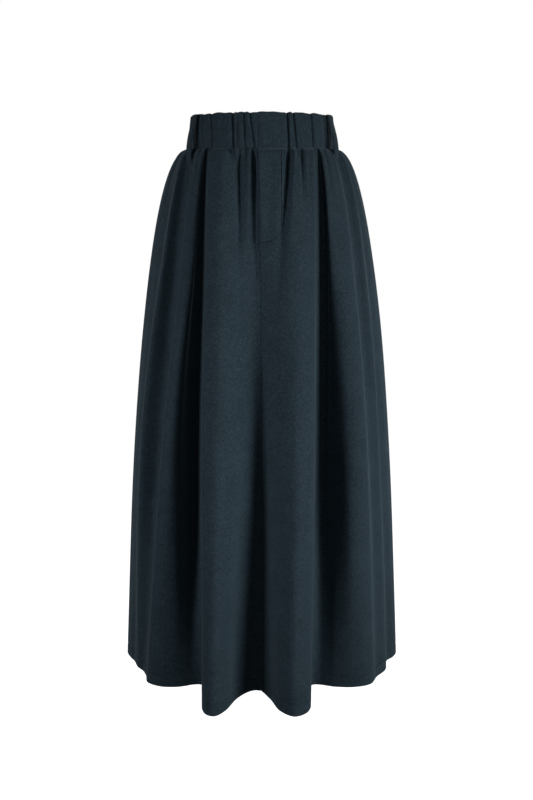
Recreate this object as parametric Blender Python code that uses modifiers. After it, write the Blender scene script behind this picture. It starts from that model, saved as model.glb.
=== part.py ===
"""Pleated maxi skirt, hollow and filled out as if it were worn.

Units are metres, +Z is up and the front faces -Y.
The origin is the centre of the waistband's ring, at half the band's height.
Left and right are those of someone looking at the front.
"""

import math
from collections import namedtuple

import bpy

MM = 0.001

# Waistband
BAND_HEIGHT = 0.050
BAND_HALF_WIDTH = 0.1105
BAND_HALF_DEPTH = 0.0865
BAND_TAPER = 0.0030
BAND_WALL = 0.0030
BAND_PUFF = 0.0012
BAND_PUFF_START = 0.006
BAND_GROOVE_SHARE = 0.6
BAND_GROOVE_STEP = 0.55
BAND_COLUMN = 0.008
BAND_ROWS = 3
SEAM_Z = -BAND_HEIGHT / 2

# Skirt panels
SKIRT_LENGTH = 0.837
WAIST_HALF_WIDTH = 0.1120
WAIST_HALF_DEPTH = 0.0880
CLOTH = 0.0020
CLOTH_COLOUR = (0.012, 0.020, 0.028, 1.0)
CLOTH_ROUGHNESS = 0.9
SEAM_GAP = 0.0003
SEAM_FLAT = 0.0030
HIP_DROP = 0.147
KNEE_DROP = 0.470
FLARE_POWER = 0.42
SIDE_RISE = 0.0035
BACK_DEPTH = 0.83
BACK_SHIFT = 0.016
SKIRT_ROWS = 13
COLUMN_AT_HEM = 0.0120
COLUMN_AT_WAIST = 0.0075
HEADING_NUDGE = 0.02
GATHER_SPREADS_BY = 0.060
GATHER_CUT = 3

# Stitched placket beside the centre seam
FLY_WALL = 0.0010
FLY_LIFT = 0.0005
FLY_EDGE_GAP = 0.0012
FLY_EDGE_PLACE = 2
FLY_STRAIGHT = 0.110
FLY_LENGTH = 0.136
FLY_ROW_ROOM = 0.010
FLY_FOOT_ROWS = 3
FLY_FOOT_SHARE = 0.96
FLY_FOOT_POWER = 3

# Belt loops
LOOP_WIDTH = 0.014
LOOP_WALL = 0.0016
LOOP_LIFT = 0.0006
LOOP_SEARCH_STEPS = 40
LOOP_SEARCH_PLACES = 3
LOOP_TURN_STEP = 0.5

# turn is in degrees from the front.
Loop = namedtuple("Loop", "name turn")

LOOPS = [
    Loop("loop_front_right", 65),
    Loop("loop_front_left", -62),
    Loop("loop_back_right", 139),
    Loop("loop_back_left", -139),
]

# The arch of a belt loop: height above the seam and reach out from what lies behind, in millimetres.
Arch = namedtuple("Arch", "height reach")

LOOP_ARCH = [
    Arch(49, 0),
    Arch(44, 0),
    Arch(39, 1.5),
    Arch(30, 5.5),
    Arch(20, 9.5),
    Arch(8, 12.5),
    Arch(-3, 13.5),
    Arch(-9, 13),
    Arch(-14, 0),
    Arch(-18, 0),
    Arch(-22, 0),
]

# One row for each fold line that runs from the waist to the hem, in millimetres.
# turn is its place round the waist, in degrees from the front.
# x and out are its place at the hip, the knee and the hem, out being its reach towards the viewer.
Fold = namedtuple("Fold", "name turn hip_x hip_out knee_x knee_out hem_x hem_out")

CENTRE_SEAM = Fold("centre seam", -3.2, -3, 107, 1, 108, -2, 121)

RIGHT_FOLDS = [
    Fold("inner flank", 7, 14, 111, 14, 125, 12, 143),
    Fold("placket edge", 16, 30, 116, 30, 144, 28, 178),
    Fold("panel crest", 27, 51, 118, 51, 155, 49, 194),
    Fold("panel shoulder", 37, 67, 112, 67, 150, 66, 186),
    Fold("panel edge", 43, 78, 101, 78, 138, 75, 170),
    Fold("edge turned in", 45, 79, 86, 80, 116, 79, 145),
    Fold("recess foot", 47, 82, 69, 83, 86, 83, 113),
    Fold("recess floor", 49, 91, 57, 95, 64, 93, 102),
    Fold("second crest turned in", 50.5, 98, 65, 103, 71, 105, 104),
    Fold("second crest", 52, 99, 83, 112, 88, 118, 108),
    Fold("second slope", 57, 115, 82, 134, 105, 146, 110),
    Fold("third crest", 62, 131, 73, 160, 103, 176, 99),
    Fold("third valley", 66, 141, 58, 172, 80, 191, 86),
    Fold("side crest", 72, 153, 46, 185, 57, 205, 54),
    Fold("side foot", 75, 156, 32, 188, 36, 212, 24),
    Fold("side slope", 81, 165, 19, 201, 18, 225, 10),
]
RIGHT_SIDE = Fold("right side seam", 90, 171, 1, 210, -4, 233, -9)

LEFT_FOLDS = [
    Fold("inner valley", -7, -12, 105, -7, 109, -13, 120),
    Fold("inner flank", -16, -30, 110, -27, 130, -38, 141),
    Fold("outer flank", -24, -45, 115, -47, 147, -55, 176),
    Fold("panel crest", -31, -59, 116, -64, 154, -72, 192),
    Fold("panel shoulder", -37, -72, 110, -79, 149, -85, 188),
    Fold("panel edge", -41, -81, 100, -90, 138, -92, 176),
    Fold("edge turned in", -43, -82, 86, -90, 118, -96, 152),
    Fold("recess foot", -45, -84, 69, -94, 86, -101, 114),
    Fold("recess floor", -47, -90, 54, -107, 60, -113, 104),
    Fold("second crest turned in", -48.5, -97, 66, -120, 79, -126, 105),
    Fold("second crest", -50, -98, 83, -130, 99, -140, 108),
    Fold("second slope", -54, -107, 84, -143, 105, -166, 107),
    Fold("third crest", -59, -117, 77, -155, 101, -187, 94),
    Fold("third foot", -61, -119, 64, -159, 80, -193, 83),
    Fold("third valley", -63, -125, 57, -166, 71, -199, 70),
    Fold("side crest", -70, -146, 52, -190, 59, -210, 44),
    Fold("side foot", -74, -150, 37, -194, 40, -218, 24),
    Fold("side slope", -81, -161, 22, -204, 20, -226, 11),
]
LEFT_SIDE = Fold("left side seam", -90, -172, 1, -210, -4, -234, -9)

# Gathers drawn in by the elastic: a groove in the band that runs on into the cloth below it.
# turn is in degrees from the front, depths and widths are in millimetres.
# reach is how far down the skirt the groove has faded to a third.
# The last four are the hollows where the belt loops are sewn down.
Gather = namedtuple("Gather", "turn band_depth skirt_depth half_width reach")

GATHERS = [
    Gather(-43, 2.0, 0.0, 2.6, 30),
    Gather(-24, 2.2, 3.0, 4.0, 90),
    Gather(-13, 1.4, 2.0, 3.4, 30),
    Gather(-7, 2.2, 2.6, 3.0, 160),
    Gather(21, 2.2, 3.2, 4.2, 130),
    Gather(28, 2.0, 2.4, 4.0, 50),
    Gather(44, 2.0, 0.0, 2.6, 30),
    Gather(78, 1.4, 1.6, 3.2, 40),
    Gather(92, 2.0, 2.2, 3.6, 60),
    Gather(104, 1.6, 2.0, 3.4, 45),
    Gather(119, 2.2, 2.6, 4.0, 80),
    Gather(128, 1.4, 1.6, 3.4, 40),
    Gather(149, 2.0, 2.4, 3.8, 70),
    Gather(158, 1.6, 2.0, 3.4, 50),
    Gather(171, 2.2, 3.0, 4.0, 110),
    Gather(183, 1.4, 1.8, 3.4, 40),
    Gather(194, 2.0, 2.6, 3.8, 80),
    Gather(208, 1.8, 2.2, 3.6, 60),
    Gather(231, 2.0, 2.4, 3.6, 60),
    Gather(243, 1.6, 2.0, 3.6, 70),
    Gather(256, 2.2, 2.4, 3.8, 50),
    Gather(268, 1.6, 1.8, 3.4, 60),
    Gather(280, 1.6, 1.8, 3.2, 40),
    Gather(65, 0.0, 8.0, 9.0, 45),
    Gather(-62, 0.0, 9.0, 9.0, 45),
    Gather(139, 0.0, 6.0, 9.0, 45),
    Gather(221, 0.0, 6.0, 9.0, 45),
]


def back_fold(fold):
    """The same fold on the back: turned half round the body and a little less deep."""
    return Fold(
        "back " + fold.name,
        fold.turn + 180,
        -fold.hip_x,
        -(fold.hip_out * BACK_DEPTH + BACK_SHIFT / MM),
        -fold.knee_x,
        -(fold.knee_out * BACK_DEPTH + BACK_SHIFT / MM),
        -fold.hem_x,
        -(fold.hem_out * BACK_DEPTH + BACK_SHIFT / MM),
    )


def fold_ring():
    """All fold lines in order: centre seam, right side, back, left side, and round again."""
    back_right = [back_fold(fold) for fold in reversed(LEFT_FOLDS)]
    back_left = [back_fold(fold) for fold in RIGHT_FOLDS]
    centre_back = back_fold(CENTRE_SEAM)
    left_side = LEFT_SIDE._replace(turn=LEFT_SIDE.turn + 360)
    left = [fold._replace(turn=fold.turn + 360) for fold in reversed(LEFT_FOLDS)]
    right_half = [CENTRE_SEAM] + RIGHT_FOLDS + [RIGHT_SIDE] + back_right
    left_half = [centre_back] + back_left + [left_side] + left
    return right_half + left_half


RING = fold_ring()
RIGHT_SEAM_PLACE = len(RIGHT_FOLDS) + 1
BACK_SEAM_PLACE = RIGHT_SEAM_PLACE + len(LEFT_FOLDS) + 1
LEFT_SEAM_PLACE = BACK_SEAM_PLACE + len(RIGHT_FOLDS) + 1


def flare(drop):
    """How far the flare has gone at a drop below the band: quick over the hip, slow below it."""
    return (max(drop, 0.0) / SKIRT_LENGTH) ** FLARE_POWER


def drop_of(share):
    """The drop below the band at which the flare has gone this share of its way."""
    return SKIRT_LENGTH * share ** (1 / FLARE_POWER)


LEVELS = [0.0, flare(HIP_DROP), flare(KNEE_DROP), 1.0]


def eased(values, at):
    """A smooth curve through the values at the four levels, without overshoot."""
    steps = [LEVELS[i + 1] - LEVELS[i] for i in range(3)]
    slopes = [(values[i + 1] - values[i]) / steps[i] for i in range(3)]
    tangents = [slopes[0]]
    for before, after in zip(slopes, slopes[1:]):
        tangents.append(2 * before * after / (before + after) if before * after > 0 else 0.0)
    tangents.append(slopes[2])
    span = 0 if at < LEVELS[1] else 1 if at < LEVELS[2] else 2
    part = (at - LEVELS[span]) / steps[span]
    rise = part * part * (3 - 2 * part)
    leave = part * (1 - part) ** 2 * steps[span] * tangents[span]
    arrive = part * part * (1 - part) * steps[span] * tangents[span + 1]
    return values[span] * (1 - rise) + values[span + 1] * rise + leave - arrive


def on_oval(turn, half_width, half_depth):
    """The point of an oval at a turn from the front, seen from above."""
    angle = math.radians(turn)
    return half_width * math.sin(angle), -half_depth * math.cos(angle)


def fold_points(share):
    """Where every fold line crosses one level section, seen from above."""
    points = []
    for fold in RING:
        waist_x, waist_y = on_oval(fold.turn, WAIST_HALF_WIDTH, WAIST_HALF_DEPTH)
        x = eased([waist_x, fold.hip_x * MM, fold.knee_x * MM, fold.hem_x * MM], share)
        y = eased([waist_y, -fold.hip_out * MM, -fold.knee_out * MM, -fold.hem_out * MM], share)
        points.append((x, y))
    return points


def along(points, place):
    """The closed curve through the points, at a place counted in points from the first."""
    count = len(points)
    start = math.floor(place)
    corners = [points[(start + step) % count] for step in (-1, 0, 1, 2)]
    knots = [0.0]
    for first, second in zip(corners, corners[1:]):
        knots.append(knots[-1] + math.sqrt(math.dist(first, second)))
    at = knots[1] + (place - start) * (knots[2] - knots[1])

    def mix(first, second, low, high):
        part = (at - low) / (high - low)
        return tuple(one + (two - one) * part for one, two in zip(first, second))

    first = mix(corners[0], corners[1], knots[0], knots[1])
    second = mix(corners[1], corners[2], knots[1], knots[2])
    third = mix(corners[2], corners[3], knots[2], knots[3])
    early = mix(first, second, knots[0], knots[2])
    late = mix(second, third, knots[1], knots[3])
    return mix(early, late, knots[1], knots[2])


def heading(points, place):
    """The unit direction of the closed curve at a place."""
    before = along(points, place - HEADING_NUDGE)
    after = along(points, place + HEADING_NUDGE)
    length = math.dist(before, after)
    return (after[0] - before[0]) / length, (after[1] - before[1]) / length


def place_of_turn(turn):
    """The place in the ring of fold lines that starts at this turn round the waist."""
    turn = (turn - CENTRE_SEAM.turn) % 360 + CENTRE_SEAM.turn
    turns = [fold.turn for fold in RING] + [CENTRE_SEAM.turn + 360]
    for index, (low, high) in enumerate(zip(turns, turns[1:])):
        if turn <= high:
            return index + (turn - low) / (high - low)
    return float(len(RING))


GATHER_PLACES = [place_of_turn(gather.turn) for gather in GATHERS]


def gather_depth(points, spot, drop):
    """How far the elastic's gathers draw the cloth in at one spot of a section."""
    total = 0.0
    for gather, place in zip(GATHERS, GATHER_PLACES):
        spread = gather.half_width * MM * (1 + drop / GATHER_SPREADS_BY)
        distance = math.dist(spot, along(points, place))
        if distance < GATHER_CUT * spread:
            fade = math.exp(-drop / (gather.reach * MM))
            total += gather.skirt_depth * MM * fade * math.exp(-((distance / spread) ** 2))
    return total


def side_rise(x, y, share):
    """How much higher the seam sits at the sides, fading out as the flare goes on."""
    return SIDE_RISE * (1 - share) ** 2 * x * x / (x * x + y * y)


def section(drop):
    """A level section of the skirt's outer face, as a function of the place round it."""
    share = flare(drop)
    points = fold_points(share)

    def spot(place, shift=0.0):
        x, y = along(points, place)
        ahead_x, ahead_y = heading(points, place)
        inward = gather_depth(points, (x, y), drop)
        return (
            x + ahead_x * shift - ahead_y * inward,
            y + ahead_y * shift + ahead_x * inward,
            SEAM_Z - SEAM_GAP - drop + side_rise(x, y, share),
        )

    return spot


def column_places(first, last):
    """Places of the columns of one panel, closer together where folds are wide."""
    waist = fold_points(0.0)
    hem = fold_points(1.0)
    places = []
    for index in range(first, last):
        ahead = (index + 1) % len(RING)
        at_hem = math.dist(hem[index], hem[ahead]) / COLUMN_AT_HEM
        at_waist = math.dist(waist[index], waist[ahead]) / COLUMN_AT_WAIST
        count = max(1, round(max(at_hem, at_waist)))
        places += [index + step / count for step in range(count)]
    return places[1:]


def row_drops():
    """Drops of the rows of points: close together under the band, wide apart at the hem."""
    return [drop_of(row / SKIRT_ROWS) for row in range(SKIRT_ROWS + 1)]


def panel_points(first, last):
    """The outer face of one panel, between two seams, as rows from the waist to the hem."""
    rows = []
    for drop in row_drops():
        spot = section(drop)
        row = [spot(first, SEAM_GAP / 2), spot(first, SEAM_FLAT)]
        row += [spot(place) for place in column_places(first, last)]
        row += [spot(last, -SEAM_FLAT), spot(last, -SEAM_GAP / 2)]
        rows.append(row)
    return rows


def moved_out(rows, distance):
    """The same grid of points, moved out along the surface."""
    result = []
    for index, row in enumerate(rows):
        above = rows[max(index - 1, 0)]
        below = rows[min(index + 1, len(rows) - 1)]
        moved = []
        for column, point in enumerate(row):
            before = row[max(column - 1, 0)]
            after = row[min(column + 1, len(row) - 1)]
            across = [two - one for one, two in zip(before, after)]
            down = [two - one for one, two in zip(above[column], below[column])]
            normal = (
                down[1] * across[2] - down[2] * across[1],
                down[2] * across[0] - down[0] * across[2],
                down[0] * across[1] - down[1] * across[0],
            )
            length = math.hypot(*normal)
            moved.append(tuple(one + part / length * distance for one, part in zip(point, normal)))
        result.append(moved)
    return result


def fly_points():
    """The placket: the panel's own points from the centre seam to the J-shaped stitching, moved out."""
    drops = [drop for drop in row_drops()[1:] if drop < FLY_STRAIGHT - FLY_ROW_ROOM] + [FLY_STRAIGHT]
    places = column_places(0, FLY_EDGE_PLACE) + [FLY_EDGE_PLACE]
    waist = fold_points(0.0)
    left_x = waist[0][0]
    width = waist[FLY_EDGE_PLACE][0] - left_x
    shares = [FLY_EDGE_GAP / width] + [(along(waist, place)[0] - left_x) / width for place in places]
    rows = []
    for drop in drops:
        spot = section(drop)
        rows.append([spot(0, FLY_EDGE_GAP)] + [spot(place) for place in places])
    for step in range(1, FLY_FOOT_ROWS + 1):
        row = []
        for share, place in zip(shares, [None] + places):
            foot = (FLY_LENGTH - drops[-1]) * (1 - (FLY_FOOT_SHARE * share) ** FLY_FOOT_POWER)
            spot = section(drops[-1] + foot * step / FLY_FOOT_ROWS)
            row.append(spot(0, FLY_EDGE_GAP) if place is None else spot(place))
        rows.append(row)
    return moved_out(rows, FLY_LIFT + FLY_WALL)


def band_point(turn, height):
    """A point of the waistband's outer face; height runs from 0 at the seam to 1 at the top."""
    half_width = BAND_HALF_WIDTH - BAND_TAPER * height
    half_depth = BAND_HALF_DEPTH - BAND_TAPER * height
    x, y = on_oval(turn, half_width, half_depth)
    size = (half_width + half_depth) / 2
    groove = 0.0
    nearest = size
    for gather in GATHERS:
        distance = size * math.radians((turn - gather.turn + 180) % 360 - 180)
        nearest = min(nearest, abs(distance))
        reach = gather.half_width * MM * BAND_GROOVE_SHARE
        groove += gather.band_depth * MM * math.exp(-((distance / reach) ** 2))
    puff = BAND_PUFF * math.sin(math.pi * height) * min(1.0, nearest / BAND_PUFF_START)
    scale = 1 + (puff - groove) / size
    rise = side_rise(x, y, 0.0) * (1 - height)
    return x * scale, y * scale, SEAM_Z + BAND_HEIGHT * height + rise


def band_turns():
    """Turns of the band's columns: four at each gather, and plain ones between them."""
    size = (BAND_HALF_WIDTH + BAND_HALF_DEPTH) / 2
    start = CENTRE_SEAM.turn
    end = start + 360
    stops = [start, end]
    for gather in GATHERS:
        turn = (gather.turn - start) % 360 + start
        step = math.degrees(gather.half_width * MM * BAND_GROOVE_STEP / size)
        stops += [turn - 2 * step, turn - step, turn, turn + step, turn + 2 * step]
    stops.sort()
    turns = []
    widest = math.degrees(BAND_COLUMN / size)
    for low, high in zip(stops, stops[1:]):
        count = max(1, math.ceil((high - low) / widest))
        turns += [low + (high - low) * step / count for step in range(count)]
    half_gap = math.degrees(SEAM_GAP / 2 / size)
    return [start + half_gap] + turns[1:] + [end - half_gap]


def band_points():
    """The waistband's outer face, from its top edge down to the seam."""
    turns = band_turns()
    return [[band_point(turn, 1 - row / BAND_ROWS) for turn in turns] for row in range(BAND_ROWS + 1)]


def skirt_reach(base, ahead, outward, height):
    """How far out the skirt stands under a belt loop, measured from the band."""
    drop = side_rise(base[0], base[1], 0.0) - SEAM_GAP - height + LOOP_LIFT
    spot = section(drop)
    start = place_of_turn(math.degrees(math.atan2(base[0] / WAIST_HALF_WIDTH, -base[1] / WAIST_HALF_DEPTH)))
    reach = 0.0
    for step in range(-LOOP_SEARCH_STEPS, LOOP_SEARCH_STEPS + 1):
        x, y, _ = spot(start + LOOP_SEARCH_PLACES * step / LOOP_SEARCH_STEPS)
        sideways = (x - base[0]) * ahead[0] + (y - base[1]) * ahead[1]
        out = (x - base[0]) * outward[0] + (y - base[1]) * outward[1]
        if abs(sideways) < LOOP_WIDTH / 2 + LOOP_LIFT:
            reach = max(reach, out)
    return reach


def loop_points(turn):
    """A belt loop: a strip sewn to the band's top, arched out, and sewn to the skirt below the seam."""
    base = band_point(turn, 0.5)
    step = band_point(turn + LOOP_TURN_STEP, 0.5)
    length = math.dist(base, step)
    ahead = ((step[0] - base[0]) / length, (step[1] - base[1]) / length)
    outward = (ahead[1], -ahead[0])
    rows = []
    for height, reach in LOOP_ARCH:
        row = []
        for sideways in (-LOOP_WIDTH / 2, 0.0, LOOP_WIDTH / 2):
            beside_turn = turn + LOOP_TURN_STEP * sideways / length
            beside = band_point(beside_turn, max(height * MM / BAND_HEIGHT, 0.0))
            out = reach * MM + (beside[0] - base[0]) * outward[0] + (beside[1] - base[1]) * outward[1]
            if height < 0:
                out = max(out, skirt_reach(base, ahead, outward, height * MM))
            out += LOOP_LIFT + LOOP_WALL
            x = base[0] + ahead[0] * sideways + outward[0] * out
            y = base[1] + ahead[1] * sideways + outward[1] * out
            row.append((x, y, SEAM_Z + height * MM))
        rows.append(row)
    return rows


def cloth_material(name):
    """Dark matte suiting."""
    material = bpy.data.materials.new(name)
    material.use_nodes = True
    shader = material.node_tree.nodes["Principled BSDF"]
    shader.inputs["Base Color"].default_value = CLOTH_COLOUR
    shader.inputs["Roughness"].default_value = CLOTH_ROUGHNESS
    shader.inputs["Metallic"].default_value = 0.0
    material.diffuse_color = CLOTH_COLOUR
    return material


def cloth_shell(name, rows, wall, collection):
    """A wall of cloth: the grid is its outer face, and its thickness goes inwards."""
    width = len(rows[0])
    points = [point for row in rows for point in row]
    faces = []
    for row in range(len(rows) - 1):
        for column in range(width - 1):
            corner = row * width + column
            faces.append((corner, corner + width, corner + width + 1, corner + 1))
    mesh = bpy.data.meshes.new(name)
    mesh.from_pydata(points, [], faces)
    mesh.shade_smooth()
    mesh.materials.append(cloth_material(name + "_cloth"))
    piece = bpy.data.objects.new(name, mesh)
    collection.objects.link(piece)
    thickness = piece.modifiers.new("Cloth thickness", "SOLIDIFY")
    thickness.thickness = wall
    thickness.offset = -1.0
    return piece


def main():
    for item in list(bpy.data.objects):
        bpy.data.objects.remove(item)
    collection = bpy.data.collections.new("pleated_skirt")
    bpy.context.scene.collection.children.link(collection)
    cloth_shell("front_right", panel_points(0, RIGHT_SEAM_PLACE), CLOTH, collection)
    cloth_shell("back_right", panel_points(RIGHT_SEAM_PLACE, BACK_SEAM_PLACE), CLOTH, collection)
    cloth_shell("back_left", panel_points(BACK_SEAM_PLACE, LEFT_SEAM_PLACE), CLOTH, collection)
    cloth_shell("front_left", panel_points(LEFT_SEAM_PLACE, len(RING)), CLOTH, collection)
    cloth_shell("waistband", band_points(), BAND_WALL, collection)
    cloth_shell("fly", fly_points(), FLY_WALL, collection)
    for loop in LOOPS:
        cloth_shell(loop.name, loop_points(loop.turn), LOOP_WALL, collection)


main()
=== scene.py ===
"""Looks of the pleated maxi skirt: fine cloth shells, creases, stitching and materials.

Units are metres, +Z is up and the front faces -Y.
The origin is the centre of the waistband's ring, at half the band's height.
Left and right are those of someone looking at the front.
"""

import math
from collections import namedtuple

import bpy
import numpy as np
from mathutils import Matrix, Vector


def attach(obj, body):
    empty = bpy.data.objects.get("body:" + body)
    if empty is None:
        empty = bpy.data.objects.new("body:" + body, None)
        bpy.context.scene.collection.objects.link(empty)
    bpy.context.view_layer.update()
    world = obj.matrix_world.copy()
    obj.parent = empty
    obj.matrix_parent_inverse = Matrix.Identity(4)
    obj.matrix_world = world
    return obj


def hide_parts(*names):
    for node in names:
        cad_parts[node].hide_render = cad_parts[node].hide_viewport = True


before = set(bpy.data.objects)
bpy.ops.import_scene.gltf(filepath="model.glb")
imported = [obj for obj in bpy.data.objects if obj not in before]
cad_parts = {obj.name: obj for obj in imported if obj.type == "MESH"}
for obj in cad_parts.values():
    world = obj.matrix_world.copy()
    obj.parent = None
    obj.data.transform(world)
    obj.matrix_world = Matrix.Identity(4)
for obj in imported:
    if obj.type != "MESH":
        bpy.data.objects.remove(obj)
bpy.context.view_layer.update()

MM = 0.001
ROOT = "root"

# Camera
CAMERA_PLACE = (0.0072, -1.40, -0.111)
CAMERA_PITCH = 12.2
CAMERA_LENS = 39.735
CAMERA_SENSOR = 36.0

# Waistband
BAND_HEIGHT = 0.050
BAND_HALF_WIDTH = 0.1105
BAND_HALF_DEPTH = 0.0865
BAND_TAPER = 0.0030
BAND_WALL = 0.0030
SEAM_Z = -BAND_HEIGHT / 2

# Skirt panels
SKIRT_LENGTH = 0.837
WAIST_HALF_WIDTH = 0.1120
WAIST_HALF_DEPTH = 0.0880
CLOTH = 0.0011
SEAM_GAP = 0.0003
HIP_DROP = 0.147
KNEE_DROP = 0.470
FLARE_POWER = 0.42
SIDE_RISE = 0.0035
BACK_DEPTH = 0.83
BACK_SHIFT = 0.016
GATHER_SPREADS_BY = 0.060
GATHER_CUT = 3
SEAM_LAP = 0.0003
WAIST_TUCK = 0.0032
WAIST_TUCK_RISE = 0.0014
WAIST_TUCK_WIDTH = 0.0042
SEAM_GROOVE = 0.0014
SEAM_GROOVE_WIDTH = 0.0013
SEAM_GROOVE_POWER = 1.5

# Fineness of the skirt's grid
COLUMN_AT_HEM = 0.0042
COLUMN_AT_WAIST = 0.0015
COLUMNS_BY_SEAM = (0.02, 0.045, 0.08, 0.13)
SKIRT_ROWS = 130
ROW_EVEN_SHARE = 0.14
ROW_POWER = 1.6
RING_STEPS = 12
TANGENT_STEP = 0.02

# Hem turned up inside
HEM_TURN_UP = 0.020
HEM_STITCH_HEIGHT = 0.0185
HEM_GROOVE = 0.0006
HEM_GROOVE_WIDTH = 0.0013
HEM_RADIUS = 0.0012
HEM_TURN_ROWS = 4
HEM_INSIDE_ROWS = 4
HEM_FINE_HEIGHTS = (0.026, 0.0225, 0.0205, 0.0193, 0.0185, 0.0177, 0.0165, 0.0145, 0.0110, 0.0070, 0.0035)

# Stitched placket beside the centre seam
FLY_EDGE_PLACE = 2
FLY_STRAIGHT = 0.110
FLY_LENGTH = 0.136
FLY_FOOT_POWER = 3
FLY_FOOT_SHARE = 0.96
FLY_LIFT = 0.0023
FLY_EDGE_WIDTH = 0.0012
FLY_COLUMNS = 44
FLY_ROWS = 44
FLY_FOOT_ROWS = 28
FLY_STITCH_INSET = 0.0022
FLY_TOP = 0.0004
FLY_TOP_RISE = 0.0060
FLY_WIDTH = 0.035
FLY_WALL = 0.0005
FLY_SUNK = 0.0005
FLY_GROOVE = 0.0017
FLY_GROOVE_WIDTH = 0.0009
FLY_SPACING_POWER = 1.7
FLY_SEAM_PLACE = 0.02
FLY_STITCH_END = 0.03

# One row for each fold line that runs from the waist to the hem, in millimetres.
# turn is its place round the waist, in degrees from the front.
# x and out are its place at the hip, the knee and the hem, out being its reach towards the viewer.
Fold = namedtuple("Fold", "name turn hip_x hip_out knee_x knee_out hem_x hem_out")

CENTRE_SEAM = Fold("centre seam", -3.2, -3, 107, 1, 108, -2, 121)

RIGHT_FOLDS = [
    Fold("inner flank", 7, 14, 111, 14, 125, 12, 143),
    Fold("placket edge", 16, 30, 116, 30, 144, 28, 178),
    Fold("panel crest", 27, 51, 118, 51, 155, 49, 194),
    Fold("panel shoulder", 37, 67, 112, 67, 150, 66, 186),
    Fold("panel edge", 43, 78, 101, 78, 138, 75, 170),
    Fold("edge turned in", 43.6, 79, 86, 80, 116, 77, 142),
    Fold("recess foot", 44.2, 83, 77, 83, 84, 80, 102),
    Fold("recess floor", 44.8, 90, 68, 95, 64, 91, 100),
    Fold("second crest turned in", 45.5, 97, 71, 103, 71, 105, 104),
    Fold("second crest", 46.4, 99, 83, 112, 88, 118, 108),
    Fold("second slope", 53, 115, 82, 134, 105, 146, 110),
    Fold("third crest", 60, 131, 73, 160, 103, 176, 99),
    Fold("third valley", 66, 139, 52, 169, 71, 189, 76),
    Fold("side crest", 72, 153, 46, 185, 57, 205, 54),
    Fold("side foot", 75, 156, 32, 188, 36, 212, 24),
    Fold("side slope", 81, 165, 19, 201, 18, 225, 10),
]
RIGHT_SIDE = Fold("right side seam", 90, 171, 1, 210, -4, 233, -9)

LEFT_FOLDS = [
    Fold("inner valley", -7, -12, 105, -7, 109, -13, 120),
    Fold("inner flank", -16, -30, 110, -27, 130, -38, 141),
    Fold("outer flank", -24, -45, 115, -47, 147, -55, 176),
    Fold("panel crest", -31, -59, 116, -64, 154, -72, 192),
    Fold("panel shoulder", -37, -72, 110, -79, 149, -85, 188),
    Fold("panel edge", -41, -81, 100, -90, 138, -92, 176),
    Fold("edge turned in", -41.6, -82, 86, -90, 118, -94, 150),
    Fold("recess foot", -42.2, -85, 74, -94, 84, -97, 102),
    Fold("recess floor", -42.8, -90, 60, -107, 60, -110, 100),
    Fold("second crest turned in", -43.5, -97, 66, -120, 79, -126, 105),
    Fold("second crest", -44.4, -98, 83, -130, 99, -140, 108),
    Fold("second slope", -51, -107, 84, -143, 105, -166, 107),
    Fold("third crest", -58, -117, 77, -155, 101, -187, 94),
    Fold("third foot", -61, -119, 59, -157, 70, -191, 74),
    Fold("third valley", -63, -127, 48, -164, 58, -198, 58),
    Fold("side crest", -70, -146, 52, -190, 59, -210, 44),
    Fold("side foot", -74, -150, 37, -194, 40, -218, 24),
    Fold("side slope", -81, -161, 22, -204, 20, -226, 11),
]
LEFT_SIDE = Fold("left side seam", -90, -172, 1, -210, -4, -234, -9)

# Gathers of the solid, and the hollows where the belt loops are sewn down: the cloth follows them too.
Gather = namedtuple("Gather", "turn skirt_depth half_width reach")

GATHERS = [
    Gather(-24, 3.0, 4.0, 90),
    Gather(-13, 2.0, 3.4, 30),
    Gather(-7, 2.6, 3.0, 160),
    Gather(21, 3.2, 4.2, 130),
    Gather(28, 2.4, 4.0, 50),
    Gather(78, 1.6, 3.2, 40),
    Gather(92, 2.2, 3.6, 60),
    Gather(104, 2.0, 3.4, 45),
    Gather(119, 2.6, 4.0, 80),
    Gather(128, 1.6, 3.4, 40),
    Gather(149, 2.4, 3.8, 70),
    Gather(158, 2.0, 3.4, 50),
    Gather(171, 3.0, 4.0, 110),
    Gather(183, 1.8, 3.4, 40),
    Gather(194, 2.6, 3.8, 80),
    Gather(208, 2.2, 3.6, 60),
    Gather(231, 2.4, 3.6, 60),
    Gather(243, 2.0, 3.6, 70),
    Gather(256, 2.4, 3.8, 50),
    Gather(268, 1.8, 3.4, 60),
    Gather(280, 1.8, 3.2, 40),
    Gather(65, 8.0, 9.0, 45),
    Gather(-62, 9.0, 9.0, 45),
    Gather(139, 6.0, 9.0, 45),
    Gather(221, 6.0, 9.0, 45),
]

# Creases laid over that form. turn is where one starts, in degrees from the front.
# lean is how far it strays to the right on its way down, depth and width are its size where it is deepest.
# start and end are how far below the seam it begins and fades, all in millimetres.
# A negative depth is a ridge.
Crease = namedtuple("Crease", "turn lean depth width widen start end")

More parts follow.
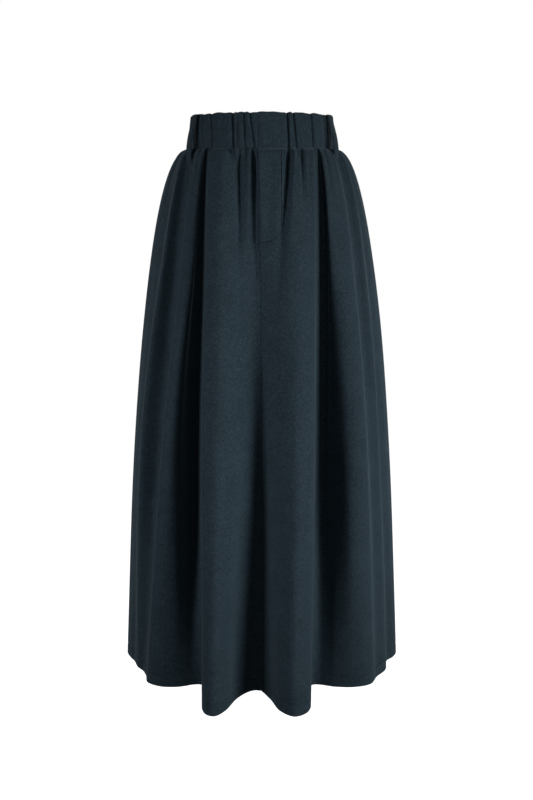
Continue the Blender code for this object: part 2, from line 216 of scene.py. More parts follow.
CREASES = [
    Crease(-41.6, 0, 3.4, 1.8, 1.2, -5, 60),
    Crease(-39.2, 0, -1.4, 2.4, 1.5, 0, 110),
    Crease(-33.0, -3, 1.4, 3.0, 2.0, 4, 90),
    Crease(-24.2, 5, 3.2, 1.5, 2.6, -5, 38),
    Crease(-21.6, 6, 4.4, 1.5, 3.0, -5, 46),
    Crease(-19.2, 2, -1.6, 1.9, 2.0, -5, 50),
    Crease(-16.8, 1, 11.0, 5.2, 1.4, 2, 190),
    Crease(-16.4, 2, 3.0, 1.3, 2.0, -5, 30),
    Crease(-11.4, 1, 3.8, 1.3, 2.0, -5, 34),
    Crease(-10.0, 0, -2.4, 2.6, 1.4, 0, 120),
    Crease(-6.4, 2, 8.5, 3.0, 1.0, -5, 165),
    Crease(-1.6, 0, -0.8, 3.4, 1.4, 4, 150),
    Crease(9.0, -2, 0.6, 4.0, 2.0, 10, 120),
    Crease(17.6, -3, 2.2, 1.4, 2.6, -5, 36),
    Crease(21.4, -17, 10.5, 3.2, 2.4, -5, 190),
    Crease(25.2, -4, -2.4, 2.4, 1.8, -2, 110),
    Crease(28.0, 3, 2.6, 1.3, 2.6, -5, 30),
    Crease(31.4, 4, 6.5, 2.6, 2.2, -5, 90),
    Crease(35.0, 2, -1.0, 2.6, 1.8, 0, 110),
    Crease(37.6, 3, 1.2, 2.4, 2.2, 4, 130),
    Crease(41.0, 0, -1.4, 2.4, 1.5, 0, 120),
    Crease(43.6, 0, 1.6, 1.6, 1.2, -5, 50),
    Crease(48.0, 2, -1.0, 2.6, 2.0, 5, 160),
    Crease(50.6, 3, 2.4, 2.2, 2.6, -5, 90),
    Crease(56.0, 4, 2.0, 2.4, 2.6, -5, 110),
    Crease(-47.0, -2, -1.0, 2.6, 2.0, 5, 160),
    Crease(-49.5, -3, 2.2, 2.0, 2.6, -5, 80),
    Crease(-55.0, -5, 2.0, 2.2, 3.0, -5, 110),
    Crease(-71.0, -3, 2.2, 2.4, 2.6, -5, 120),
    Crease(74.0, 2, 2.2, 2.4, 2.6, -5, 110),
    Crease(-79.0, -2, 1.8, 2.4, 2.6, -5, 90),
    Crease(86.0, -4, 2.2, 2.2, 3.0, -5, 100),
    Crease(97.0, 3, 2.6, 2.0, 3.0, -5, 60),
    Crease(111.0, -4, 2.4, 2.2, 3.2, -5, 120),
    Crease(124.0, 5, 3.0, 1.8, 3.4, -5, 70),
    Crease(153.0, -3, 3.0, 1.8, 3.0, -5, 80),
    Crease(165.0, 4, 4.6, 2.6, 2.6, -5, 150),
    Crease(177.0, -2, 2.8, 1.6, 3.0, -5, 50),
    Crease(188.0, 5, 4.2, 2.6, 2.6, -5, 120),
    Crease(200.0, -4, 2.6, 1.8, 3.0, -5, 60),
    Crease(212.0, 3, 3.0, 2.0, 3.0, -5, 110),
    Crease(234.0, -5, 3.0, 1.8, 3.2, -5, 70),
    Crease(247.0, 4, 2.8, 2.2, 3.0, -5, 110),
    Crease(259.0, -3, 2.4, 2.0, 3.0, -5, 60),
    Crease(272.0, 3, 2.4, 2.2, 3.0, -5, 90),
]

# How quickly a crease begins, how far it runs on and how it fades, as shares of its length and as powers
CREASE_ONSET = 8
CREASE_RUN = 1.6
CREASE_FADE_POWER = 1.5
CREASE_EDGE_POWER = 1.7

# Slow unevenness of the cloth: waves across the ring, how they drift on the way down, and their height.
Ripple = namedtuple("Ripple", "length drift phase height")

RIPPLES = [
    Ripple(0.046, 0.35, 0.4, 0.00045),
    Ripple(0.071, -0.22, 2.1, 0.00060),
    Ripple(0.123, 0.15, 4.4, 0.00080),
]
RIPPLE_START = 0.05
RIPPLE_GROWTH = 0.20
RIPPLE_GIRTH = 1.3
RIPPLE_SWELL = 0.4
RIPPLE_SWELL_WAVES = 3
RIPPLE_SWELL_DRIFT = 9

# Folds of the band over its elastic, in degrees from the front at the top edge and at the seam.
# depth and width are in millimetres, lips are how proud the cloth stands on its left and right.
BandFold = namedtuple("BandFold", "top seam depth width left_lip right_lip")

BAND_FOLDS = [
    BandFold(-52.0, -50.0, 0.8, 3.0, 0.2, 0.3),
    BandFold(-42.6, -40.4, 3.2, 1.1, 0.5, 0.6),
    BandFold(-22.9, -21.4, 3.8, 1.2, 0.6, 0.8),
    BandFold(-18.8, -18.2, 1.4, 1.1, 0.2, 0.1),
    BandFold(-13.4, -12.2, 2.8, 1.2, 0.1, 0.8),
    BandFold(-9.0, -5.2, 3.2, 1.1, 0.6, 0.5),
    BandFold(-3.2, -3.2, 1.0, 0.5, 0.0, 0.1),
    BandFold(20.2, 20.9, 4.0, 1.3, 0.6, 0.9),
    BandFold(25.2, 27.6, 3.8, 1.1, 0.7, 0.6),
    BandFold(41.8, 43.2, 3.4, 1.1, 0.5, 0.9),
    BandFold(57.6, 58.6, 1.4, 1.2, 0.3, 0.3),
    BandFold(78.0, 77.0, 2.6, 1.2, 0.6, 0.6),
    BandFold(85.5, 86.5, 1.4, 1.1, 0.3, 0.3),
    BandFold(92.0, 93.4, 3.2, 1.2, 0.6, 0.7),
    BandFold(104.0, 102.8, 2.6, 1.1, 0.4, 0.6),
    BandFold(111.0, 112.0, 1.4, 1.1, 0.3, 0.3),
    BandFold(119.0, 120.6, 3.6, 1.3, 0.7, 0.7),
    BandFold(128.0, 126.8, 2.2, 1.1, 0.4, 0.5),
    BandFold(149.0, 147.6, 3.4, 1.2, 0.6, 0.7),
    BandFold(153.6, 153.6, 1.5, 1.0, 0.2, 0.3),
    BandFold(158.0, 159.6, 2.8, 1.1, 0.5, 0.6),
    BandFold(171.0, 169.8, 3.8, 1.2, 0.7, 0.8),
    BandFold(177.0, 178.0, 1.4, 1.0, 0.3, 0.2),
    BandFold(183.0, 184.0, 2.4, 1.1, 0.4, 0.5),
    BandFold(194.0, 192.6, 3.4, 1.2, 0.7, 0.6),
    BandFold(201.0, 202.0, 1.6, 1.1, 0.3, 0.3),
    BandFold(208.0, 209.6, 3.0, 1.1, 0.5, 0.6),
    BandFold(231.0, 229.8, 3.2, 1.2, 0.6, 0.7),
    BandFold(243.0, 244.6, 2.6, 1.1, 0.5, 0.5),
    BandFold(256.0, 254.8, 3.4, 1.2, 0.6, 0.7),
    BandFold(262.0, 263.0, 1.4, 1.0, 0.2, 0.3),
    BandFold(268.0, 269.4, 2.8, 1.1, 0.5, 0.6),
    BandFold(280.0, 278.8, 2.6, 1.1, 0.5, 0.5),
]
BAND_FOLD_POWER = 1.6
BAND_FOLD_SOFTEN = 0.0015
BAND_LIP_OFFSET = 0.8
BAND_PUFF = 0.0011
BAND_PUFF_POWER = 0.7
BAND_PUFF_START = 0.006
BAND_LIP_WIDTH = 0.0018
BAND_COLUMNS = 640
BAND_ROWS = 26
BAND_TOP_ROWS = 5
BAND_EDGE_DIP = 0.0011
BAND_EDGE_DIP_WIDTH = 0.0024
BAND_EDGE_FULL_DEPTH = 3.5
BAND_EDGE_START = 0.6
BAND_LIP = 0.0014
BAND_SEAM_PINCH = 0.0009
BAND_SEAM_PINCH_REACH = 0.0030

# Small waves round the band: how many there are, their phase, how it climbs with height, and their height
Wave = namedtuple("Wave", "count phase climb height")

BAND_FACE_WAVES = [Wave(23, 1.3, 0, 0.0003), Wave(41, 0, 2, 0.0003)]
BAND_EDGE_WAVES = [Wave(17, 0, 0, 0.0004), Wave(31, 2, 0, 0.0003)]

# Belt loops
LOOP_WIDTH = 0.0150
LOOP_WALL = 0.0020
LOOP_GAP = 0.0004
LOOP_STEPS = 72
LOOP_EDGE_STITCH = 0.0022
LOOP_BULGE = 0.0003
LOOP_GROOVE = 0.0004
LOOP_GROOVE_WIDTH = 0.0007
LOOP_ROUNDING = 14
LOOP_PROFILE = (-1, -0.985, -0.94, -0.86, -0.76, -0.67, -0.58, -0.45, -0.2,
                0.2, 0.45, 0.58, 0.67, 0.76, 0.86, 0.94, 0.985, 1)
LOOP_SEARCH = 3
LOOP_BESIDE = 0.25
LOOP_SEWN_POINTS = 4
LOOP_FOOT_ROUND = 0.25
LOOP_STITCH_BULGE = 0.25
CORNER_CUT = 0.25
CORNER_ROUNDS = 3
LOOP_REACH = 0.0076
Loop = namedtuple("Loop", "name turn foot")

LOOPS = [
    Loop("loop_front_right", 65, -15.5),
    Loop("loop_front_left", -62, -20.0),
    Loop("loop_back_right", 139, -17.0),
    Loop("loop_back_left", -139, -15.5),
]

# The path of a belt loop's middle: height above the seam and reach out from the band, in millimetres,
# down to its foot, whose height is in the table above.
# It leaves the band's top and hangs out, then folds back up behind itself to where it is sewn down.
Arch = namedtuple("Arch", "height reach")

LOOP_ARCH = [
    Arch(48.8, -1.6),
    Arch(49.4, -0.2),
    Arch(48.4, 1.2),
    Arch(46, 1.9),
    Arch(42, 2.4),
    Arch(37, 3.3),
    Arch(30, 5.6),
    Arch(20, 8.6),
    Arch(8, 11.0),
    Arch(-3, 12.2),
    Arch(-10, 12.2),
]
LOOP_FOOT_WIDTH = 3.4
LOOP_SEWN_HEIGHT = -6.0

# Stitches
STITCH_PITCH = 0.0034
STITCH_LENGTH = 0.0026
STITCH_RADIUS = 0.00036
STITCH_SIDES = 6
STITCH_LIFT = 0.0001
WAIST_STITCH_DROP = 0.0011
STITCH_PROFILE = ((0.0, 0.2), (0.12, 0.8), (0.5, 1.0), (0.88, 0.8), (1.0, 0.2))

# Floor and backdrop
FLOOR_Z = -1.42
FLOOR_SIZE = 60.0
WHITE = 1.0
AMBIENT = 0.03
FLOOR_COLOUR = (0.9, 0.9, 0.9, 1)

# Large soft lights. turn is the side that one stands at, in degrees from the front,
# up is its height above the target, spread is the angle of its beam, and power is in watts.
Light = namedtuple("Light", "name turn up width height spread power")

LIGHTS = [
    Light("right softbox", 60, 0.10, 1.3, 1.0, 42, 5.0),
    Light("left softbox", -54, 0.50, 0.7, 0.9, 48, 2.3),
    Light("front fill", 8, 0.20, 1.2, 1.2, 180, 4.5),
    Light("right back light", 138, 0.3, 0.9, 1.8, 180, 6.3),
    Light("left back light", -138, 0.3, 0.9, 1.8, 180, 6.3),
    Light("back fill", 180, 0.30, 1.2, 1.2, 180, 3.2),
]
LIGHT_DISTANCE = 2.4
LIGHT_TARGET = (0.0, 0.0, -0.45)

# Suiting
CLOTH_DARK = (0.0045, 0.0125, 0.0195, 1.0)
CLOTH_LIGHT = (0.0285, 0.0500, 0.0665, 1.0)
CLOTH_ROUGHNESS = 0.95
# The stitch thread is near black: partly the thread's own colour and partly painted shade that stands in for
# the shade in the stitch grooves.
THREAD_AND_GROOVE_SHADE_DARK = (0.001, 0.003, 0.006, 1.0)
THREAD_AND_GROOVE_SHADE_LIGHT = (0.005, 0.010, 0.015, 1.0)
CLOTH_SPECULAR = 0.25
TUFT_ROUGHNESS = -0.08
TWILL_SCALE = 494.0
BUMP_STRENGTH = 0.35
BUMP_DEPTH = 0.0005
SHEEN_WEIGHT = 0.30
SHEEN_ROUGHNESS = 0.35
SHEEN_TINT = (0.55, 0.75, 0.90, 1.0)
FIBRE_BUMP = 0.5
TUFT_BUMP = 0.6
TWILL_BUMP = 0.35

# Sockets of the node that mixes two colours
MIX_FIRST = 6
MIX_SECOND = 7
MIX_RESULT = 2

# What mottles the cloth: the size of its features, the part of the noise that is used, and its weight.
# The flecks only lighten it, and the others go both ways.
Grain = namedtuple("Grain", "size detail low high weight")

FIBRES = Grain(0.0016, 2.0, 0.30, 0.70, 0.62)
TUFTS = Grain(0.0045, 3.0, 0.32, 0.68, 0.20)
MOTTLE = Grain(0.035, 2.0, 0.30, 0.70, 0.15)
FLECKS = Grain(0.0022, 0.0, 0.70, 0.80, 0.45)


def back_fold(fold):
    """The same fold on the back: turned half round the body and a little less deep."""
    return Fold(
        "back " + fold.name,
        fold.turn + 180,
        -fold.hip_x,
        -(fold.hip_out * BACK_DEPTH + BACK_SHIFT / MM),
        -fold.knee_x,
        -(fold.knee_out * BACK_DEPTH + BACK_SHIFT / MM),
        -fold.hem_x,
        -(fold.hem_out * BACK_DEPTH + BACK_SHIFT / MM),
    )


def fold_ring():
    """All fold lines in order: centre seam, right side, back, left side, and round again."""
    back_right = [back_fold(fold) for fold in reversed(LEFT_FOLDS)]
    back_left = [back_fold(fold) for fold in RIGHT_FOLDS]
    centre_back = back_fold(CENTRE_SEAM)
    left_side = LEFT_SIDE._replace(turn=LEFT_SIDE.turn + 360)
    left = [fold._replace(turn=fold.turn + 360) for fold in reversed(LEFT_FOLDS)]
    right_half = [CENTRE_SEAM] + RIGHT_FOLDS + [RIGHT_SIDE] + back_right
    left_half = [centre_back] + back_left + [left_side] + left
    return right_half + left_half


RING = fold_ring()
RIGHT_SEAM_PLACE = len(RIGHT_FOLDS) + 1
BACK_SEAM_PLACE = RIGHT_SEAM_PLACE + len(LEFT_FOLDS) + 1
LEFT_SEAM_PLACE = BACK_SEAM_PLACE + len(RIGHT_FOLDS) + 1
SEAM_PLACES = (0, RIGHT_SEAM_PLACE, BACK_SEAM_PLACE, LEFT_SEAM_PLACE)


def flare(drop):
    """How far the flare has gone at a drop below the band: quick over the hip, slow below it."""
    return (max(drop, 0.0) / SKIRT_LENGTH) ** FLARE_POWER


LEVELS = np.array([0.0, flare(HIP_DROP), flare(KNEE_DROP), 1.0])


def on_oval(turn, half_width, half_depth):
    """Points of an oval at turns from the front, seen from above."""
    angle = np.radians(turn)
    return np.stack([half_width * np.sin(angle), -half_depth * np.cos(angle)], axis=-1)


def level_points():
    """Where every fold line crosses the waist, the hip, the knee and the hem."""
    turns = np.array([fold.turn for fold in RING])
    waist = on_oval(turns, WAIST_HALF_WIDTH, WAIST_HALF_DEPTH)
    hip = np.array([(fold.hip_x, -fold.hip_out) for fold in RING]) * MM
    knee = np.array([(fold.knee_x, -fold.knee_out) for fold in RING]) * MM
    hem = np.array([(fold.hem_x, -fold.hem_out) for fold in RING]) * MM
    return np.stack([waist, hip, knee, hem])


LEVEL_POINTS = level_points()


def fold_points(share):
    """Where the fold lines cross one level section: a smooth curve through the four levels."""
    steps = np.diff(LEVELS)[:, None, None]
    slopes = np.diff(LEVEL_POINTS, axis=0) / steps
    product = slopes[:-1] * slopes[1:]
    total = slopes[:-1] + slopes[1:]
    middle = np.where(product > 0, 2 * product / np.where(product > 0, total, 1.0), 0.0)
    tangents = np.concatenate([slopes[:1], middle, slopes[-1:]])
    span = 0 if share < LEVELS[1] else 1 if share < LEVELS[2] else 2
    step = steps[span, 0, 0]
    part = (share - LEVELS[span]) / step
    rise = part * part * (3 - 2 * part)
    leave = part * (1 - part) ** 2 * step * tangents[span]
    arrive = part * part * (1 - part) * step * tangents[span + 1]
    return LEVEL_POINTS[span] * (1 - rise) + LEVEL_POINTS[span + 1] * rise + leave - arrive


def along(points, places):
    """The closed curve through the points, at places counted in points from the first."""
    places = np.asarray(places, float)
    start = np.floor(places).astype(int)
    corners = [points[(start + step) % len(points)] for step in (-1, 0, 1, 2)]
    gaps = [np.sqrt(np.linalg.norm(b - a, axis=-1)) for a, b in zip(corners, corners[1:])]
    knots = [np.zeros(len(places)), gaps[0], gaps[0] + gaps[1], gaps[0] + gaps[1] + gaps[2]]
    at = knots[1] + (places - start) * gaps[1]

    def mix(first, second, low, high):
        part = ((at - low) / (high - low))[:, None]
        return first + (second - first) * part

    first = mix(corners[0], corners[1], knots[0], knots[1])
    second = mix(corners[1], corners[2], knots[1], knots[2])
    third = mix(corners[2], corners[3], knots[2], knots[3])
    early = mix(first, second, knots[0], knots[2])
    late = mix(second, third, knots[1], knots[3])
    return mix(early, late, knots[1], knots[2])


def place_of_turn(turn):
    """The place in the ring of fold lines that starts at this turn round the waist."""
    turns = [fold.turn for fold in RING] + [CENTRE_SEAM.turn + 360]
    turn = (turn - CENTRE_SEAM.turn) % 360 + CENTRE_SEAM.turn
    return float(np.interp(turn, turns, range(len(turns))))


GATHER_PLACES = [place_of_turn(gather.turn) for gather in GATHERS]
CREASE_PLACES = [place_of_turn(crease.turn) for crease in CREASES]
RING_PLACES = np.arange(len(RING) * RING_STEPS + 1) / RING_STEPS


def polyline_lengths(points):
    """How far along a path each of its points is."""
    steps = np.linalg.norm(np.diff(points, axis=0), axis=1)
    return np.concatenate([[0.0], np.cumsum(steps)])


def unit(vectors):
    """The same directions, one long."""
    return vectors / np.linalg.norm(vectors, axis=-1, keepdims=True)


def smooth_step(value):
    """Eases from 0 to 1."""
    value = np.clip(value, 0.0, 1.0)
    return value * value * (3 - 2 * value)


def round_distance(arcs, centre, girth):
    """Signed distance along the closed section from a centre."""
    return (arcs - centre + girth / 2) % girth - girth / 2


def crease_depth(arcs, girth, arc_of, drop):
    """How far the listed creases draw the cloth in at one level."""
    total = np.zeros(len(arcs))
    for crease, place in zip(CREASES, CREASE_PLACES):
        length = (crease.end - crease.start) * MM
        gone = (drop - crease.start * MM) / length
        if gone < 0 or gone > CREASE_RUN:
            continue
        fade = smooth_step(gone * CREASE_ONSET) * (1 - smooth_step(gone / CREASE_RUN)) ** CREASE_FADE_POWER
        width = crease.width * MM * (1 + (crease.widen - 1) * gone)
        centre = arc_of(place) + crease.lean * MM * gone
        distance = round_distance(arcs, centre, girth) / width
        total += crease.depth * MM * fade * np.exp(-np.abs(distance) ** CREASE_EDGE_POWER)
    return total


def ripple_height(arcs, girth, drop):
    """The slow unevenness of the cloth at one level, which closes on itself round the ring."""
    total = np.zeros(len(arcs))
    strength = smooth_step((drop - RIPPLE_START) / RIPPLE_GROWTH)
    for ripple in RIPPLES:
        waves = round(RIPPLE_GIRTH / ripple.length)
        angle = 2 * math.pi * waves * arcs / girth + ripple.phase + ripple.drift * drop / ripple.length
        swell_angle = 2 * math.pi * RIPPLE_SWELL_WAVES * arcs / girth + ripple.phase * 2
        swell_angle += drop * RIPPLE_SWELL_DRIFT
        swell = 1 - RIPPLE_SWELL + RIPPLE_SWELL * np.sin(swell_angle)
        total += ripple.height * strength * swell * np.sin(angle)
    return total


def seam_depth(arcs, girth, arc_of, drop):
    """How far the hem's stitching, the waist seam and the panels' seams draw the cloth in at one level."""
    from_stitches = SKIRT_LENGTH - drop - HEM_STITCH_HEIGHT
    total = HEM_GROOVE * math.exp(-((from_stitches / HEM_GROOVE_WIDTH) ** 2))
    total += WAIST_TUCK * (1 - smooth_step((drop + WAIST_TUCK_RISE) / WAIST_TUCK_WIDTH))
    for place in SEAM_PLACES:
        distance = round_distance(arcs, arc_of(place), girth)
        total = total + SEAM_GROOVE * np.exp(-np.abs(distance / SEAM_GROOVE_WIDTH) ** SEAM_GROOVE_POWER)
    return total


def skirt_section(drop, places, shift=0.0, out=0.0):
    """Points of the skirt's outer face at one level.

    shift moves them along the section, and out moves them out of the surface.
    """
    share = flare(drop)
    points = fold_points(share)
    ring = along(points, RING_PLACES)
    ring_arcs = polyline_lengths(ring)
    girth = ring_arcs[-1]

    def arc_of(place):
        return np.interp(np.asarray(place, float) % len(RING), RING_PLACES, ring_arcs)

    places = np.asarray(places, float)
    spots = along(points, places)
    ahead = along(points, places + TANGENT_STEP) - along(points, places - TANGENT_STEP)
    ahead /= np.linalg.norm(ahead, axis=1)[:, None]
    outward = np.stack([ahead[:, 1], -ahead[:, 0]], axis=1)
    arcs = arc_of(places)
    inward = crease_depth(arcs, girth, arc_of, drop) - ripple_height(arcs, girth, drop)
    inward += seam_depth(arcs, girth, arc_of, drop)
    for gather, place in zip(GATHERS, GATHER_PLACES):
        spread = gather.half_width * MM * (1 + drop / GATHER_SPREADS_BY)
        centre = along(points, [place])[0]
        distance = np.linalg.norm(spots - centre, axis=1)
        fade = math.exp(-max(drop, 0.0) / (gather.reach * MM))
        near = distance < GATHER_CUT * spread
        inward += near * gather.skirt_depth * MM * fade * np.exp(-((distance / spread) ** 2))
    spots = spots + ahead * shift - outward * inward[:, None] + outward * out
    rise = SIDE_RISE * (1 - share) ** 2 * spots[:, 0] ** 2 / (spots ** 2).sum(axis=1)
    heights = SEAM_Z - SEAM_GAP - drop + rise
    return np.column_stack([spots, heights])


def row_drops():
    """Drops of the rows: close together under the band and at the hem's stitching, wider apart between."""
    steps = np.arange(SKIRT_ROWS + 1) / SKIRT_ROWS
    drops = SKIRT_LENGTH * (ROW_EVEN_SHARE * steps + (1 - ROW_EVEN_SHARE) * steps**ROW_POWER)
    at_stitches = SKIRT_LENGTH - np.array(HEM_FINE_HEIGHTS)
    at_waist = (-WAIST_TUCK_RISE, -WAIST_TUCK_RISE / 2)
    return np.concatenate([at_waist, drops[drops < at_stitches[0]], at_stitches, [SKIRT_LENGTH]])


def column_places(first, last):
    """Places of a panel's columns: even along the hem and the waist together, and closer by its seams."""
    steps = np.linspace(first, last, (last - first) * RING_STEPS + 1)
    counts = np.zeros(len(steps))
    for share, spacing in ((1.0, COLUMN_AT_HEM), (0.0, COLUMN_AT_WAIST)):
        counts += polyline_lengths(along(fold_points(share), steps)) / spacing
    even = np.interp(np.linspace(0, counts[-1], round(counts[-1]) + 1), counts, steps)
    nearest = COLUMNS_BY_SEAM[-1]
    even = even[(even > first + nearest) & (even < last - nearest)]
    by_seam = np.array((0.0,) + COLUMNS_BY_SEAM)
    return np.concatenate([first + by_seam, even, last - by_seam[::-1]])


def mesh_object(name, points, faces, material):
    """A smooth-shaded piece that rides on the garment's one body."""
    mesh = bpy.data.meshes.new(name)
    mesh.from_pydata(np.asarray(points).tolist(), [], faces)
    mesh.shade_smooth()
    mesh.materials.append(material)
    piece = bpy.data.objects.new(name, mesh)
    bpy.context.scene.collection.objects.link(piece)
    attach(piece, ROOT)
    return piece


def grid_faces(height, width):
    """Faces between the points of a grid, row by row."""
    index = np.arange(height * width).reshape(height, width)
    corners = (index[:-1, :-1], index[1:, :-1], index[1:, 1:], index[:-1, 1:])
    return np.stack([corner.ravel() for corner in corners], axis=1)


def cloth_object(name, rows, material):
    """A piece of cloth from a grid of points whose faces look outwards, with its thread directions as UV."""
    grid = np.array(rows)
    faces = grid_faces(*grid.shape[:2])
    piece = mesh_object(name, grid.reshape(-1, 3), faces.tolist(), material)
    across = np.linalg.norm(np.diff(grid, axis=1), axis=2)
    across = np.concatenate([np.zeros((len(grid), 1)), np.cumsum(across, axis=1)], axis=1)
    across -= across[:, -1:] / 2
    down = np.linalg.norm(np.diff(grid, axis=0), axis=2)
    down = np.concatenate([np.zeros((1, grid.shape[1])), np.cumsum(down, axis=0)], axis=0)
    threads = np.stack([across, -down], axis=2).reshape(-1, 2)
    layer = piece.data.uv_layers.new(name="threads")
    layer.data.foreach_set("uv", threads[faces.ravel()].ravel())
    return piece


def thicken(piece, wall):
    """Gives a piece of cloth its thickness, inwards."""
    thickness = piece.modifiers.new("Cloth thickness", "SOLIDIFY")
    thickness.thickness = wall
    thickness.offset = -1.0


def panel(name, first, last, material):
    """One panel of the skirt, from the waist seam to the hem and up inside it."""
    places = column_places(first, last)
    shift = np.zeros(len(places))
    shift[0] = -SEAM_LAP
    shift[-1] = SEAM_LAP
    rows = []
    for drop in row_drops():
        rows.append(skirt_section(drop, places, shift[:, None]))
    bottom = rows[-1]
    outward = (skirt_section(SKIRT_LENGTH, places, shift[:, None], MM) - bottom) / MM
    for step in range(1, HEM_TURN_ROWS + 1):
        angle = math.pi * step / HEM_TURN_ROWS
        row = bottom - outward * HEM_RADIUS * (1 - math.cos(angle))
        row[:, 2] -= HEM_RADIUS * math.sin(angle)
        rows.append(row)
    for step in range(1, HEM_INSIDE_ROWS + 1):
        height = HEM_TURN_UP * step / HEM_INSIDE_ROWS
        above = skirt_section(SKIRT_LENGTH - height, places, shift[:, None])
        rows.append(above - outward * 2 * HEM_RADIUS)
    piece = cloth_object(name, rows, material)
    thicken(piece, CLOTH)
    return piece


def band_waves(waves, turns, height):
    """The sum of some small waves round the band at one height."""
    total = np.zeros(len(turns))
    for wave in waves:
        total += wave.height * np.sin(np.radians(turns) * wave.count + wave.phase + wave.climb * height)
    return total


def band_section(turns, height, inside=0.0):
    """Points of the waistband at one height, 0 at the seam and 1 at the top, some way inside its face."""
    half_width = BAND_HALF_WIDTH - BAND_TAPER * height
    half_depth = BAND_HALF_DEPTH - BAND_TAPER * height
    size = (half_width + half_depth) / 2
    groove = np.zeros(len(turns))
    nearest = np.full(len(turns), size)
    dip = np.zeros(len(turns))
    for fold in BAND_FOLDS:
        turn = fold.seam + (fold.top - fold.seam) * height
        distance = size * np.radians((turns - turn + 180) % 360 - 180)
        width = fold.width * MM * (1 + inside / BAND_FOLD_SOFTEN)
        groove += fold.depth * MM * np.exp(-np.abs(distance / width) ** BAND_FOLD_POWER)
        lip_place = width + BAND_LIP_WIDTH * BAND_LIP_OFFSET
        left = np.exp(-(((distance + lip_place) / BAND_LIP_WIDTH) ** 2))
        right = np.exp(-(((distance - lip_place) / BAND_LIP_WIDTH) ** 2))
        groove -= (fold.left_lip * left + fold.right_lip * right) * MM
        nearest = np.minimum(nearest, np.abs(distance))
        dip += fold.depth / BAND_EDGE_FULL_DEPTH * np.exp(-((distance / BAND_EDGE_DIP_WIDTH) ** 2))
    puff = BAND_PUFF * math.sin(math.pi * min(max(height, 0.0), 1.0)) ** BAND_PUFF_POWER
    puff = puff * np.minimum(1.0, nearest / BAND_PUFF_START)
    above_seam = height * BAND_HEIGHT
    pinch = BAND_SEAM_PINCH * math.exp(-((above_seam / BAND_SEAM_PINCH_REACH) ** 2))
    unevenness = band_waves(BAND_FACE_WAVES, turns, height)
    scale = 1 + (puff - groove - pinch + unevenness - inside) / size
    spots = on_oval(turns, half_width, half_depth) * scale[:, None]
    rise = SIDE_RISE * (1 - height) * spots[:, 0] ** 2 / (spots ** 2).sum(axis=1)
    edge = smooth_step((height - BAND_EDGE_START) / (1 - BAND_EDGE_START))
    lower = dip * BAND_EDGE_DIP - band_waves(BAND_EDGE_WAVES, turns, height)
    heights = SEAM_Z + BAND_HEIGHT * height + rise - edge * lower
    return np.column_stack([spots, heights])


def band_turns():
    """Turns of the band's columns, from one side of the centre seam round to the other."""
    size = (BAND_HALF_WIDTH + BAND_HALF_DEPTH) / 2
    lap = math.degrees(SEAM_LAP / size)
    return np.linspace(CENTRE_SEAM.turn - lap, CENTRE_SEAM.turn + 360 + lap, BAND_COLUMNS)


def waistband(material):
    """The band: its outer face, its rounded top edge and its inner face, closed below."""
    turns = band_turns()
    rows = []
    radius = BAND_WALL / 2
    shoulder = 1 - radius / BAND_HEIGHT
    for step in range(BAND_TOP_ROWS + 1):
        angle = math.pi / 2 * step / BAND_TOP_ROWS
        height = shoulder + math.cos(angle) * radius / BAND_HEIGHT
        rows.append(band_section(turns, height, radius * (1 - math.sin(angle))))
    heights = np.linspace(shoulder, -BAND_LIP / BAND_HEIGHT, BAND_ROWS + 1)
    for height in heights[1:]:
        rows.append(band_section(turns, height))
    for height in heights[::-1]:
        rows.append(band_section(turns, height, BAND_WALL))
    for step in range(1, BAND_TOP_ROWS + 1):
        angle = math.pi / 2 * (1 - step / BAND_TOP_ROWS)
        height = shoulder + math.cos(angle) * radius / BAND_HEIGHT
        rows.append(band_section(turns, height, radius * (1 + math.sin(angle))))
    return cloth_object("waistband_shell", rows, material)


def stitch_points(spots, outward):
    """Rings of points of the stitches along one path on the cloth, each a rounded bar half sunk in it."""
    spots = np.asarray(spots) + np.asarray(outward) * STITCH_LIFT
    lengths = polyline_lengths(spots)
    count = int(lengths[-1] / STITCH_PITCH)
    starts = (np.arange(count) + 0.5) * lengths[-1] / count - STITCH_LENGTH / 2

    def at(place, values):
        return np.stack([np.interp(place, lengths, values[:, axis]) for axis in range(3)], axis=1)

    first = at(starts, spots)
    last = at(starts + STITCH_LENGTH, spots)
    run = unit(last - first)
    up = at(starts, np.asarray(outward))
    up = unit(up - run * (up * run).sum(axis=1, keepdims=True))
    side = np.cross(run, up)
    rings = []
    for share, size in STITCH_PROFILE:
        centre = first + (last - first) * share
        for step in range(STITCH_SIDES):
            angle = 2 * math.pi * step / STITCH_SIDES
            rings.append(centre + (side * math.cos(angle) + up * math.sin(angle)) * STITCH_RADIUS * size)
    return np.stack(rings, axis=1)


def stitching(name, paths, material):
    """All stitches of some seams as one piece."""
    points = np.concatenate([stitch_points(spots, outward) for spots, outward in paths])
    count, each = points.shape[:2]
    ring_count = len(STITCH_PROFILE)
    bar = []
    for ring in range(ring_count - 1):
        for step in range(STITCH_SIDES):
            corner = ring * STITCH_SIDES + step
            beside = ring * STITCH_SIDES + (step + 1) % STITCH_SIDES
            bar.append((corner, beside, beside + STITCH_SIDES, corner + STITCH_SIDES))
    ends = [tuple(range(STITCH_SIDES))[::-1], tuple(range(each - STITCH_SIDES, each))]
    faces = []
    for index in range(count):
        for face in bar + ends:
            faces.append([corner + index * each for corner in face])
    return mesh_object(name, points.reshape(-1, 3), faces, material)


def on_skirt(drop, places, lift=0.0):
    """Points a little above the skirt's face at one level, and the directions out of it."""
    spots = skirt_section(drop, places, 0.0, lift)
    above = skirt_section(drop, places, 0.0, lift + MM)
    return spots, unit(above - spots)


def hem_stitching(material):
    """The row of stitches that holds the turned-up hem, all round the skirt."""
    places = np.linspace(0, len(RING), len(RING) * RING_STEPS * 2 + 1)
    path = on_skirt(SKIRT_LENGTH - HEM_STITCH_HEIGHT, places)
    return stitching("hem_stitching", [path], material)


